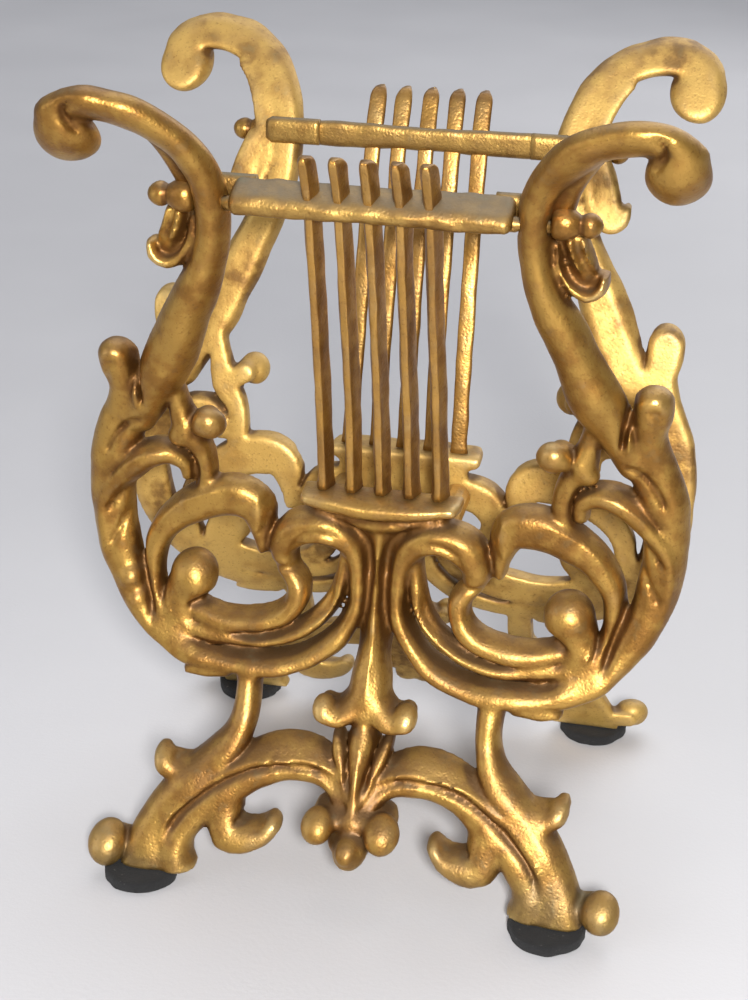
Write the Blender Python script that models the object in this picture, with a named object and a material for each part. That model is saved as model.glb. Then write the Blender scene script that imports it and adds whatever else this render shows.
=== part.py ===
# Double-lyre paper rack: two openwork brass castings back to back, joined at the waist,
# each with a crossbar, five flat strings and two felt-padded feet.
# Metres, +Z up. The origin lies on the floor, midway between the two castings.
import math

import bmesh
import bpy
from mathutils import Vector

MM = 0.001
GAP = 0.3 * MM

# Side profile: distance of a casting's flat back from the middle plane, at heights above the floor.
BACK_PROFILE = [
    (0.0, 39.2), (7.6, 36.4), (19.1, 31.2), (29.6, 25.7), (40.0, 19.8), (50.7, 14.4),
    (62.7, 10.8), (75.7, 9.4), (87.7, 10.2), (102.7, 12.8), (117.7, 16.6), (134.7, 21.0),
    (149.7, 25.0), (157.7, 28.6), (165.7, 33.6), (177.7, 42.0),
]

PAD_RADIUS = 8.3 * MM
PAD_THICKNESS = 2.5 * MM
PAD_OUT = 42.0 * MM
# The pads are stuck on by hand, so they don't sit quite alike under the feet.
PAD_ACROSS = {
    ("front", "left"): 47.0 * MM, ("front", "right"): 43.8 * MM,
    ("rear", "left"): 45.6 * MM, ("rear", "right"): 45.2 * MM,
}
FOOT_HEIGHT = PAD_THICKNESS + GAP

YOKE_Z = 150.7
YOKE_HALF_LENGTH = 27.2
YOKE_DEPTH = 7.6
YOKE_BACK_HALF_HEIGHT = 3.3
YOKE_FRONT_HALF_HEIGHT = 2.1
YOKE_AXIS = 4.0
TENON_RADIUS = 1.2
TENON_END = 38.6
BORE_RADIUS = TENON_RADIUS + 0.3

STRING_COUNT = 5
STRING_TOP_PITCH = 5.8
STRING_ROOT_PITCH = 6.2
STRING_ROOT_Z = 86.0
STRING_TOP_Z = 161.9
STRING_BACK_HALF_WIDTH = 1.95
STRING_FRONT_HALF_WIDTH = 0.95
STRING_DEPTH = 4.7
STRING_SET_IN = 1.0

COLLAR_HALF_WIDTH = 17.4
COLLAR_TOP_Z = 85.7
COLLAR_DEPTH = 10.2

POST_U = 12.6
POST_Z = 76.3
POST_RADIUS = 3.2
SPIGOT_RADIUS = 1.6
SPIGOT_LENGTH = 2.6

# Relief strokes of the right half of a casting, as (across, up, half width, height above the back).
ARM = [
    (56.8, 163.6, 5.4, 9.4), (57.4, 167.2, 4.7, 9.0), (54.4, 170.0, 4.2, 8.6), (48.8, 170.5, 4.1, 8.4),
    (42.2, 168.5, 4.1, 8.4), (35.8, 163.5, 3.9, 8.2), (32.2, 156.9, 3.6, 8.2), (31.2, 149.7, 3.4, 8.2),
    (31.9, 142.7, 3.6, 8.2), (34.3, 135.5, 4.1, 8.4), (38.2, 127.3, 4.8, 8.8), (42.6, 118.7, 5.1, 9.0),
    (46.4, 111.7, 4.5, 8.6), (48.4, 108.3, 3.0, 6.6),
]
OUTER_BAND = [
    (54.6, 105.2, 2.9, 5.4), (57.2, 99.2, 4.2, 6.8), (60.0, 91.7, 4.7, 7.2), (61.0, 83.7, 4.6, 7.2),
    (61.2, 75.7, 4.3, 7.0), (60.4, 67.7, 4.0, 7.0), (57.8, 60.5, 3.5, 6.8), (53.8, 54.1, 3.0, 6.6),
    (48.8, 49.0, 2.8, 6.4), (42.5, 45.8, 2.7, 6.2), (36.0, 44.6, 2.4, 6.0),
]
RING = [
    (25.9, 80.3, 3.8, 4.6), (28.2, 81.3, 6.4, 6.8), (33.2, 81.7, 5.0, 7.6), (40.0, 79.5, 4.0, 7.0),
    (46.0, 75.5, 3.4, 6.6), (50.0, 69.5, 2.9, 6.2), (51.3, 62.7, 2.6, 6.2), (50.0, 56.1, 2.4, 6.2),
    (46.2, 50.5, 2.4, 6.2), (40.0, 46.4, 2.6, 6.4), (31.0, 44.6, 2.6, 6.6), (22.5, 44.6, 2.6, 6.6),
    (14.5, 47.0, 2.6, 6.6), (8.4, 51.8, 2.5, 6.6), (4.9, 58.3, 2.3, 6.6), (4.0, 65.2, 2.1, 6.6),
    (4.9, 70.7, 2.5, 7.0), (8.2, 74.7, 3.0, 7.6), (13.3, 76.3, 3.5, 8.0), (18.4, 75.0, 3.6, 8.0),
    (21.2, 70.7, 3.1, 7.2), (20.4, 67.1, 2.3, 5.8),
]
INNER_RIDGE = [
    (7.4, 70.7, 1.8, 5.0), (8.3, 63.7, 2.0, 5.4), (10.4, 58.1, 2.1, 5.6), (14.6, 53.7, 2.1, 5.6),
    (20.6, 50.7, 2.2, 5.6), (28.0, 49.3, 2.2, 5.6), (35.5, 49.7, 2.2, 5.6), (42.0, 51.1, 2.4, 5.6),
]
INNER_SCROLL = [
    (20.6, 66.3, 2.3, 6.0), (17.6, 62.3, 2.4, 6.6), (18.5, 57.7, 2.4, 6.6), (22.5, 54.6, 2.5, 6.6),
    (28.5, 53.0, 2.5, 6.4), (34.5, 52.8, 2.3, 6.0), (38.6, 54.0, 1.7, 5.0),
]
BULB = [(43.2, 50.1, 2.4, 5.6), (44.4, 55.3, 3.0, 6.6), (43.0, 59.9, 4.0, 8.0), (40.6, 62.9, 4.0, 8.4)]
LEAF_BRANCH = [
    (43.7, 84.5, 1.9, 5.6), (43.7, 87.9, 2.3, 6.6), (46.8, 90.3, 2.5, 7.2), (51.5, 89.5, 2.9, 8.4),
    (56.3, 85.3, 3.0, 8.6), (60.0, 79.3, 2.7, 8.2), (61.6, 72.3, 2.2, 7.6), (61.0, 65.7, 1.5, 6.0),
]
CURL = [
    (55.2, 102.7, 2.9, 5.6), (53.2, 108.3, 2.6, 6.2), (53.0, 112.9, 2.5, 7.2), (55.4, 115.7, 2.5, 7.8),
    (57.3, 113.7, 2.4, 7.8), (57.0, 110.7, 1.8, 6.6),
]
STRUT = [
    (45.2, 111.7, 2.0, 4.4), (44.0, 103.7, 2.0, 5.2), (42.4, 96.9, 2.7, 6.6), (39.8, 91.3, 2.3, 5.4),
    (39.2, 86.7, 2.2, 5.4), (40.4, 81.3, 2.4, 5.4),
]
BALL_NECK = [(42.0, 97.1, 2.3, 6.4), (37.6, 99.9, 2.4, 7.4)]
LEG_STEM = [
    (27.4, 44.8, 3.0, 6.4), (27.0, 39.6, 3.0, 6.6), (27.0, 34.3, 3.1, 6.6), (28.6, 29.6, 3.5, 6.8),
    (32.8, 25.2, 3.9, 6.8), (38.0, 20.2, 4.1, 6.8), (42.6, 14.1, 4.2, 6.8), (46.0, 7.6, 4.3, 6.8),
    (47.8, 1.0, 4.4, 6.8),
]
BASE_ARC = [
    (1.8, 20.4, 2.2, 7.4), (5.2, 25.0, 3.2, 6.6), (10.3, 27.3, 4.2, 6.8), (16.8, 27.5, 4.6, 6.8),
    (23.1, 25.4, 4.7, 6.8), (29.0, 21.4, 4.9, 6.8), (34.6, 16.2, 4.4, 6.8), (38.6, 10.3, 3.8, 6.8),
    (39.8, 1.0, 4.4, 6.8),
]
INNER_LOBE = [
    (26.6, 19.1, 4.0, 6.2), (27.6, 13.0, 4.3, 6.2), (24.4, 10.4, 3.0, 6.0), (20.4, 10.9, 1.9, 5.4),
    (18.4, 12.2, 1.1, 4.6),
]
NUB = [(37.0, 21.4, 2.2, 5.4), (41.4, 23.1, 2.3, 6.2), (43.4, 24.0, 2.2, 6.4)]
FOOT_BALL_NECK = [(46.0, 6.1, 2.2, 5.0), (54.2, 6.8, 2.4, 6.4)]
BELLY_POINT = [(35.0, 43.3, 2.3, 5.4), (38.4, 40.6, 1.1, 4.4)]
FLEUR_LOBE = [
    (1.0, 41.2, 2.8, 7.0), (4.5, 37.1, 2.8, 7.6), (7.8, 36.3, 2.3, 8.0), (9.2, 38.3, 2.1, 8.0),
    (8.2, 39.8, 1.5, 7.0),
]
CLUSTER_NECK = [(0.0, 18.6, 2.4, 9.0), (6.8, 17.5, 2.4, 9.6)]
LEAF_CUP = [(37.2, 145.3, 1.6, 4.0), (38.4, 142.6, 3.0, 4.6), (40.8, 139.3, 2.6, 4.8), (42.4, 137.7, 1.6, 4.2)]
TOP_LEAF = [(34.8, 161.4, 1.3, 3.4), (36.4, 158.4, 2.0, 3.8), (37.2, 155.8, 1.6, 3.6)]

# Strokes on the centre line of a casting.
COLUMN = [
    (0.0, 78.7, 2.2, 5.6), (0.0, 67.7, 1.7, 5.6), (0.0, 57.7, 1.8, 6.0), (0.0, 51.1, 2.4, 6.6),
    (0.0, 45.2, 3.4, 7.2), (0.0, 40.1, 3.9, 7.6), (0.0, 35.7, 2.8, 7.0),
]
LOWER_STEM = [(0.0, 36.6, 1.5, 6.6), (0.0, 30.5, 2.5, 7.8), (0.0, 24.8, 2.1, 8.4), (0.0, 17.6, 3.0, 9.4)]

# Round bosses of the right half, as (across, up, radius, height of the centre above the back).
BALLS = {
    "scroll": (57.0, 163.7, 5.9, 4.6),
    "bulb": (40.4, 63.0, 4.6, 3.8),
    "branch": (36.8, 100.5, 3.8, 5.0),
    "nub": (43.4, 24.0, 2.5, 4.0),
    "foot": (55.0, 6.9, 3.9, 5.4),
    "cluster": (7.3, 17.2, 3.6, 9.0),
}
DROP = (0.0, 13.4, 3.8, 8.2)


def clear_scene():
    for old in list(bpy.data.objects):
        bpy.data.objects.remove(old, do_unlink=True)


def curve_through(points, step):
    """Points about `step` apart along a smooth curve through `points`, whose first two values are its path."""
    vectors = [Vector(point) for point in points]
    ends = [2 * vectors[0] - vectors[1]] + vectors + [2 * vectors[-1] - vectors[-2]]
    smooth = []
    for a, b, c, d in zip(ends, ends[1:], ends[2:], ends[3:]):
        spans = max(1, round((c.xy - b.xy).length / step))
        for i in range(spans):
            t = i / spans
            smooth.append(0.5 * (2 * b + (c - a) * t + (2 * a - 5 * b + 4 * c - d) * t**2
                                 + (3 * b - a - 3 * c + d) * t**3))
    return smooth + [vectors[-1]]


PROFILE_CURVE = [(point[1], point[0]) for point in curve_through([(z, y, 0, 0) for z, y in BACK_PROFILE], 2.5)]


def back_distance(z):
    """Distance of the flat back from the middle plane at height z, both in mm."""
    for (y0, z0), (y1, z1) in zip(PROFILE_CURVE, PROFILE_CURVE[1:]):
        if z <= z1:
            return y0 + (y1 - y0) * (z - z0) / (z1 - z0)
    return PROFILE_CURVE[-1][0]


def placed(u, z, height):
    """World position of a point of the front casting, from mm across, up and outwards from its back."""
    return Vector((u * MM, -(back_distance(z) + height) * MM, z * MM))


def mesh_object(name, bm, material=None):
    bmesh.ops.recalc_face_normals(bm, faces=bm.faces)
    mesh = bpy.data.meshes.new(name)
    bm.to_mesh(mesh)
    bm.free()
    mesh.shade_smooth()
    mesh.set_sharp_from_angle(angle=math.radians(40))
    obj = bpy.data.objects.new(name, mesh)
    bpy.context.scene.collection.objects.link(obj)
    if material:
        mesh.materials.append(material)
    return obj


def helper(obj):
    obj.hide_render = True
    obj.display_type = "WIRE"
    return obj


def add_rings(bm, rings):
    """Closed tube through rings of equal length, capped at both ends."""
    loops = [[bm.verts.new(point) for point in ring] for ring in rings]
    for first, second in zip(loops, loops[1:]):
        for i in range(len(first)):
            j = (i + 1) % len(first)
            bm.faces.new((first[i], first[j], second[j], second[i]))
    bm.faces.new(loops[0])
    bm.faces.new(list(reversed(loops[-1])))


# Section of a stroke: share of the half width, depth behind the back in mm, share of the height.
SECTION = [(1.0, -1.6, 0), (1.0, 0, 0.35), (0.52, 0, 0.97), (-0.52, 0, 0.97), (-1.0, 0, 0.35), (-1.0, -1.6, 0)]


def tip_beyond(end, before):
    """Narrower, lower point a little past the end of a stroke, which rounds that end off."""
    move = (end.xy - before.xy).normalized() * end[2] * 0.55
    return Vector((end[0] + move.x, end[1] + move.y, end[2] * 0.5, end[3] * 0.8))


def add_stroke(bm, points, side=1, step=7.5):
    """Half-round relief bar along a stroke. It runs on behind the back, where the castings are cut flat."""
    path = curve_through(points, step)
    path = [tip_beyond(path[0], path[1])] + path + [tip_beyond(path[-1], path[-2])]
    rings = []
    for i, point in enumerate(path):
        along = (path[min(i + 1, len(path) - 1)].xy - path[max(i - 1, 0)].xy).normalized()
        across = Vector((-along.y, along.x))
        ring = []
        for width, base, rise in SECTION:
            place = point.xy + across * point[2] * width
            spot = placed(place.x * side, place.y, 0)
            ring.append(spot - Vector((0, (base + rise * point[3]) * MM, 0)))
        rings.append(ring)
    add_rings(bm, rings)


def add_ball(bm, ball, side=1):
    u, z, radius, height = ball
    made = bmesh.ops.create_uvsphere(bm, u_segments=8, v_segments=6, radius=radius * MM)
    bmesh.ops.translate(bm, verts=made["verts"], vec=placed(u * side, z, height))


def add_collar(bm):
    """Moulded shelf that the strings stand on."""
    rings = []
    for u, shrink in ((-1.0, 0.7), (-0.9, 1.0), (0.0, 1.0), (0.9, 1.0), (1.0, 0.7)):
        drop = 1.4 * (1 - abs(u))
        section = [(-1.6, 0), (COLLAR_DEPTH - 0.6, 0), (COLLAR_DEPTH, -1.0), (COLLAR_DEPTH - 0.8, -2.8 - drop),
                   (COLLAR_DEPTH - 4.0, -4.2 - drop), (-1.6, -4.6 - drop)]
        base = placed(0, COLLAR_TOP_Z, 0)
        rings.append([base + Vector((u * COLLAR_HALF_WIDTH, -height * shrink if height > 0 else -height, z)) * MM
                      for height, z in section])
    add_rings(bm, rings)


def relief_mesh():
    bm = bmesh.new()
    paired = (ARM, OUTER_BAND, RING, INNER_RIDGE, INNER_SCROLL, BULB, LEAF_BRANCH, CURL, STRUT, BALL_NECK,
              LEG_STEM, BASE_ARC, INNER_LOBE, NUB, FOOT_BALL_NECK, BELLY_POINT, FLEUR_LOBE, CLUSTER_NECK,
              LEAF_CUP, TOP_LEAF)
    for side in (1, -1):
        for points in paired:
            add_stroke(bm, points, side)
        for ball in BALLS.values():
            add_ball(bm, ball, side)
    for points in (COLUMN, LOWER_STEM):
        add_stroke(bm, points)
    add_ball(bm, DROP)
    add_collar(bm)
    return mesh_object("relief", bm)


def trimmer():
    """Everything behind the flat back or below the soles of the feet."""
    bm = bmesh.new()
    top, bottom, rear, front = 180 * MM, -12 * MM, 60 * MM, -75 * MM
    outline = [Vector((0, rear, top)), Vector((0, rear, bottom)), Vector((0, front, bottom)),
               Vector((0, front, FOOT_HEIGHT)), placed(0, FOOT_HEIGHT / MM, 0)]
    outline += [placed(0, z, 0) for _, z in PROFILE_CURVE[2::2]] + [placed(0, top / MM, 0)]
    add_rings(bm, [[point + Vector((x * MM, 0, 0)) for point in outline] for x in (-90, 90)])
    return helper(mesh_object("trimmer", bm))


def rod(bm, start, end, radius, segments=12):
    axis = end - start
    made = bmesh.ops.create_cone(bm, cap_ends=True, segments=segments, radius1=radius, radius2=radius,
                                 depth=axis.length)
    turn = axis.to_track_quat("Z", "Y").to_matrix().to_4x4()
    bmesh.ops.transform(bm, matrix=turn, verts=made["verts"])
    bmesh.ops.translate(bm, verts=made["verts"], vec=(start + end) / 2)


def bores():
    """Holes through the arms for the crossbar's tenons, and blind holes in the back for the posts' spigots."""
    bm = bmesh.new()
    axis = placed(0, YOKE_Z, YOKE_AXIS)
    for side in (1, -1):
        rod(bm, axis + Vector((side * 22 * MM, 0, 0)), axis + Vector((side * 48 * MM, 0, 0)), BORE_RADIUS * MM)
        mouth = placed(side * POST_U, POST_Z, 0)
        rod(bm, mouth + Vector((0, 4 * MM, 0)), mouth - Vector((0, (SPIGOT_LENGTH + 0.6) * MM, 0)),
            (SPIGOT_RADIUS + 0.3) * MM)
    return helper(mesh_object("bores", bm))


def subtract(obj, cutter):
    cut = obj.modifiers.new(cutter.name, "BOOLEAN")
    cut.operation = "DIFFERENCE"
    cut.object = cutter
    cut.solver = "EXACT"
    cut.use_self = True


def finished_mesh(obj):
    """The object's mesh with its modifiers applied."""
    bpy.context.view_layer.update()
    return bpy.data.meshes.new_from_object(obj.evaluated_get(bpy.context.evaluated_depsgraph_get()))


def lyre_mesh(material):
    relief = relief_mesh()
    cutters = [trimmer(), bores()]
    subtract(relief, cutters[0])
    plainer = relief.modifiers.new("plainer", "DECIMATE")
    plainer.decimate_type = "DISSOLVE"
    plainer.angle_limit = math.radians(10)
    subtract(relief, cutters[1])
    mesh = finished_mesh(relief)
    mesh.materials.clear()
    mesh.materials.append(material)
    for obj in [relief] + cutters:
        bpy.data.objects.remove(obj, do_unlink=True)
    mesh.shade_smooth()
    mesh.set_sharp_from_angle(angle=math.radians(40))
    return mesh


def string_rings(u_root, u_top, grow=0.0, z_from=STRING_ROOT_Z, z_to=STRING_TOP_Z):
    back, front = STRING_BACK_HALF_WIDTH + grow, STRING_FRONT_HALF_WIDTH + grow
    section = [(back, STRING_SET_IN - grow), (front, STRING_SET_IN + STRING_DEPTH + grow),
               (-front, STRING_SET_IN + STRING_DEPTH + grow), (-back, STRING_SET_IN - grow)]
    rings = []
    count = 8
    for i in range(count + 1):
        z = z_from + (z_to - z_from) * i / count
        t = (z - STRING_ROOT_Z) / (STRING_TOP_Z - STRING_ROOT_Z)
        rings.append([placed(u_root + (u_top - u_root) * t + across, z, height) for across, height in section])
    return rings


def string_places():
    for i in range(STRING_COUNT):
        k = i - (STRING_COUNT - 1) / 2
        yield k * STRING_ROOT_PITCH, k * STRING_TOP_PITCH


def yoke_mesh(material):
    """Crossbar with a flat back, a rounded front and a round tenon at each end, slotted for the strings."""
    bm = bmesh.new()
    low, high = YOKE_BACK_HALF_HEIGHT, YOKE_FRONT_HALF_HEIGHT
    section = [(0, -low), (YOKE_DEPTH - 1.4, -high), (YOKE_DEPTH - 0.3, -high * 0.55), (YOKE_DEPTH, 0),
               (YOKE_DEPTH - 0.3, high * 0.55), (YOKE_DEPTH - 1.4, high), (0, low * 0.85)]
    base = placed(0, YOKE_Z, 0)
    add_rings(bm, [[base + Vector((side * YOKE_HALF_LENGTH, -height, z)) * MM for height, z in section]
                   for side in (-1, 1)])
    bar = mesh_object("bar", bm)
    bm = bmesh.new()
    axis = placed(0, YOKE_Z, YOKE_AXIS)
    for side in (1, -1):
        rod(bm, axis + Vector((side * 20 * MM, 0, 0)), axis + Vector((side * TENON_END * MM, 0, 0)),
            TENON_RADIUS * MM)
    tenons = helper(mesh_object("tenons", bm))
    join = bar.modifiers.new("tenons", "BOOLEAN")
    join.operation = "UNION"
    join.object = tenons
    bm = bmesh.new()
    for root, top in string_places():
        add_rings(bm, string_rings(root, top, 0.3, YOKE_Z - 10, YOKE_Z + 8))
    slots = helper(mesh_object("slots", bm))
    subtract(bar, slots)
    mesh = finished_mesh(bar)
    mesh.materials.clear()
    mesh.materials.append(material)
    for obj in (bar, tenons, slots):
        bpy.data.objects.remove(obj, do_unlink=True)
    return mesh


def string_mesh(root, top, material):
    bm = bmesh.new()
    rings = string_rings(root, top)
    centre = sum(rings[-1], Vector()) / 4
    rings[-1] = [centre + (point - centre) * 0.72 for point in rings[-1]]
    shoulder = string_rings(root, top, 0, STRING_TOP_Z - 0.9, STRING_TOP_Z)[0]
    add_rings(bm, rings[:-1] + [shoulder, rings[-1]])
    obj = mesh_object("string", bm, material)
    mesh = obj.data
    bpy.data.objects.remove(obj, do_unlink=True)
    return mesh


def turned_mesh(name, profile, segments, material):
    """Solid turned about the local X axis from (along, radius) points; a profile may run back up its own bore."""
    bm = bmesh.new()
    rings = []
    for along, radius in profile:
        ring = []
        for i in range(segments):
            angle = 2 * math.pi * i / segments
            ring.append(Vector((along, radius * math.cos(angle), radius * math.sin(angle))) * MM)
        rings.append(ring)
    add_rings(bm, rings)
    obj = mesh_object(name, bm, material)
    mesh = obj.data
    bpy.data.objects.remove(obj, do_unlink=True)
    return mesh


def finial_mesh(material):
    """Turned end bead: a tapered barrel and a small ball, with a blind bore that screws onto the tenon."""
    bead = [(35.9, BORE_RADIUS), (35.9, 2.5), (36.6, 2.9), (37.8, 2.8), (39.2, 2.2), (39.9, 1.5), (40.4, 1.7),
            (41.4, 2.1), (42.6, 2.0), (43.5, 1.3), (43.9, 0.5)]
    bore = [(TENON_END + 0.4, 0.6), (TENON_END + 0.3, BORE_RADIUS)]
    return turned_mesh("finial", bore + bead, 12, material)


def post_mesh(material):
    """Round distance post with a spigot at each end."""
    reach = back_distance(POST_Z) - 0.3
    tip = reach + 0.3 + SPIGOT_LENGTH
    half = [(reach, POST_RADIUS), (reach, SPIGOT_RADIUS), (tip, SPIGOT_RADIUS)]
    profile = [(-x, r) for x, r in reversed(half)] + half
    return turned_mesh("post", profile, 14, material)


def pad_mesh(material):
    profile = [(0.0, PAD_RADIUS / MM - 0.2), (0.4, PAD_RADIUS / MM), (PAD_THICKNESS / MM - 0.4, PAD_RADIUS / MM),
               (PAD_THICKNESS / MM, PAD_RADIUS / MM - 0.2)]
    return turned_mesh("pad", profile, 28, material)


def finish(name, colour, metallic, roughness):
    material = bpy.data.materials.new(name)
    material.use_nodes = True
    shader = material.node_tree.nodes["Principled BSDF"]
    shader.inputs["Base Color"].default_value = (*colour, 1)
    shader.inputs["Metallic"].default_value = metallic
    shader.inputs["Roughness"].default_value = roughness
    return material


def place(name, mesh, location=(0, 0, 0), rotation=(0, 0, 0)):
    obj = bpy.data.objects.new(name, mesh)
    obj.location = location
    obj.rotation_euler = rotation
    bpy.context.scene.collection.objects.link(obj)
    return obj


def build():
    clear_scene()
    cast = finish("gilt_cast_brass", (0.52, 0.34, 0.12), 1.0, 0.42)
    bar = finish("gilt_crossbar_brass", (0.50, 0.33, 0.13), 1.0, 0.45)
    wire = finish("gilt_string_brass", (0.42, 0.26, 0.10), 1.0, 0.45)
    bead = finish("gilt_bead_brass", (0.54, 0.35, 0.14), 1.0, 0.36)
    plain = finish("plain_brass", (0.56, 0.42, 0.18), 1.0, 0.40)
    felt = finish("black_felt", (0.02, 0.02, 0.02), 0.0, 0.95)

    lyre = lyre_mesh(cast)
    yoke = yoke_mesh(bar)
    finial = finial_mesh(bead)
    post = post_mesh(plain)
    pad = pad_mesh(felt)
    strings = [string_mesh(root, top, wire) for root, top in string_places()]
    axis = placed(0, YOKE_Z, YOKE_AXIS)
    half_turn = math.pi
    for panel, turn in (("front", 0.0), ("rear", half_turn)):
        facing = 1 if panel == "front" else -1
        place(f"{panel}_lyre_casting", lyre, rotation=(0, 0, turn))
        place(f"{panel}_yoke_bar", yoke, rotation=(0, 0, turn))
        for number, mesh in enumerate(strings, 1):
            place(f"{panel}_string_{number}", mesh, rotation=(0, 0, turn))
        for side, sign in (("left", -1), ("right", 1)):
            place(f"{panel}_{side}_finial", finial, (0, axis.y * facing, axis.z),
                  (0, 0, 0 if sign > 0 else half_turn))
            place(f"{panel}_{side}_felt_pad", pad, (sign * PAD_ACROSS[panel, side], -facing * PAD_OUT, 0),
                  (0, -math.pi / 2, 0))
    for side, sign in (("left", -1), ("right", 1)):
        place(f"{side}_waist_post", post, (sign * POST_U * MM, 0, POST_Z * MM), (0, 0, math.pi / 2))


build()
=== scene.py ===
import math

import bpy
import numpy as np
from mathutils import Matrix, Vector


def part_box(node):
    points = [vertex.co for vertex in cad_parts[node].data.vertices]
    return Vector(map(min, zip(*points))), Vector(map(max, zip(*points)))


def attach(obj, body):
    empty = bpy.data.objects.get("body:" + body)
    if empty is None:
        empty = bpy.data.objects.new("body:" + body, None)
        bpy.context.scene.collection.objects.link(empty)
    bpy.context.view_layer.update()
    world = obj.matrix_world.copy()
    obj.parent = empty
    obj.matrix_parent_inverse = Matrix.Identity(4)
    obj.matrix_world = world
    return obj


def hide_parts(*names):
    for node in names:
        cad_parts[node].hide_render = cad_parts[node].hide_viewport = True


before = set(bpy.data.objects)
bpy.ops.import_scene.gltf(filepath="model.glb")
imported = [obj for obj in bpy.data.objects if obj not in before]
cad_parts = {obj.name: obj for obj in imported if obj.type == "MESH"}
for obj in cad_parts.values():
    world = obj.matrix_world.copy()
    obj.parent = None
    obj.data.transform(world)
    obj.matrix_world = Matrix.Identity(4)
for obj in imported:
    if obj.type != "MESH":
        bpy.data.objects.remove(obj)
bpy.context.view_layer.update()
castLow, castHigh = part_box("front_lyre_casting")
drawnWidth = 131.2  # the castings are drawn this many mm wide
mm = (castHigh.x - castLow.x) / drawnWidth
print("frame loaded, castings", round(1000 * (castHigh.z - castLow.z)), "mm high")

# Places below are in mm on a casting: across, up, and height above its flat back.
# The side profile is the height up and the back's distance from the middle plane.
sideProfile = [
    (0.0, 39.2), (7.6, 36.4), (19.1, 31.2), (29.6, 25.7), (40.0, 19.8), (50.7, 14.4),
    (62.7, 10.8), (75.7, 9.4), (87.7, 10.2), (102.7, 12.8), (117.7, 16.6), (134.7, 21.0),
    (149.7, 25.0), (157.7, 28.6), (165.7, 33.6), (177.7, 42.0),
]


def smoothPath(points, step=1.5):
    # A rounded curve through points of any length; their first two values are the path.
    points = np.array(points, float)
    padded = np.vstack([2 * points[0] - points[1], points, 2 * points[-1] - points[-2]])
    out = []
    for a, b, c, d in zip(padded, padded[1:], padded[2:], padded[3:]):
        for t in np.arange(0, 1, 1 / max(2, round(np.hypot(*(c - b)[:2]) / step))):
            out.append(0.5 * (2 * b + (c - a) * t + (2 * a - 5 * b + 4 * c - d) * t**2
                              + (3 * b - a - 3 * c + d) * t**3))
    return np.array(out + [points[-1]])


profileCurve = smoothPath(sideProfile, 2)


def backDistance(up):
    return np.interp(up, profileCurve[:, 0], profileCurve[:, 1])


def pointsFrom(x, y, z):
    return np.stack(np.broadcast_arrays(x, y, z), -1)


def placedStraight(across, up, lift, height):
    # Metres in the frame, on the front casting. What is lifted keeps its distance from the middle plane.
    return pointsFrom(across * mm, -(backDistance(up) + height) * mm, (up + lift) * mm)


def placed(across, up, height):
    # Metres in the frame, on the front casting.
    return placedStraight(across, up, 0.0, height)


def onSide(points, side):
    # The rear casting is the front one turned half round.
    return points * (-1, -1, 1) if side == "rear" else points


def grownNoise(shape, cells, seed):
    # Smooth random values about 1 in size, one blob about as many samples wide as cells.
    rng = np.random.default_rng(seed)
    freq = np.meshgrid(*[np.fft.fftfreq(n) * cells for n in shape], indexing="ij")
    keep = np.exp(-2.5 * sum(f**2 for f in freq))
    values = np.fft.ifftn(np.fft.fftn(rng.standard_normal(shape)) * keep).real
    return values / values.std()


def between(values, spots):
    # Straight-line interpolation in a grid of values, with the spots counted in samples.
    spots = np.clip(spots, 0, np.array(values.shape) - 1.001)
    low = spots.astype(int)
    past = spots - low
    total = np.zeros(len(spots))
    for corner in np.ndindex(*[2] * values.ndim):
        share = np.prod(np.where(corner, past, 1 - past), axis=1)
        total += share * values[tuple((low + corner).T)]
    return total


def meshPiece(name, points, faces, shadeAndWear=None):
    mesh = bpy.data.meshes.new(name)
    mesh.from_pydata([tuple(point) for point in points], [], [tuple(face) for face in faces])
    mesh.validate()
    mesh.shade_smooth()
    if shadeAndWear is not None:
        values = np.asarray(shadeAndWear, np.float32)
        mesh.attributes.new("shadeAndWear", "FLOAT", "POINT").data.foreach_set("value", values)
    piece = bpy.data.objects.new(name, mesh)
    bpy.context.scene.collection.objects.link(piece)
    return piece


def finishPiece(name, points, faces, node, shadeAndWear=None):
    # A visual mesh that rides the body and stands for one CAD node. Its material reads the
    # values given with it, from -1 for a pale painted highlight with rubbed wear to 1 for painted shade with
    # grime.
    piece = meshPiece(name, points, faces, shadeAndWear)
    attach(piece, "root")
    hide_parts(node)
    return piece


casting = {
    "cell": 0.66,                  # spacing of the sampled block
    "reach": (67.0, 174.0, 14.2),  # half width, height and depth of the block
    "blend": 0.75,                 # how softly strokes run into each other
    "section": (2.5, 0.16),        # squareness of a stroke's section, and its undercut at the back
    "armSection": (2.15, 0.42),
    "centreSection": (2.5, 0.0),
    "collarSection": (3.0, 0.0),
    "undercutHeight": 3.6,
    "backEdge": 0.9,               # rounding where the flat back and the other cuts are trimmed
    "cutEdge": 0.5,
    "soleHeight": 2.8,
    "collarHalfWidth": 17.5, "collarBottom": 82.0, "collarTop": 85.7,
    "yokeHeight": 150.7,
    "yokeAxis": 4.0,
    "tenonHole": 1.5,
    "smoothing": (0.55, -0.57),    # one pass in and one out, which keeps the size
    "smoothingPasses": 3,
    "waveGrid": (90, 120),
    "waveBlobs": ((6, 1.0), (3.2, 0.8)),  # size in samples, and share
    "waveSeeds": {"front": 3, "rear": 8},
    "waviness": 0.13,
}

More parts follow.
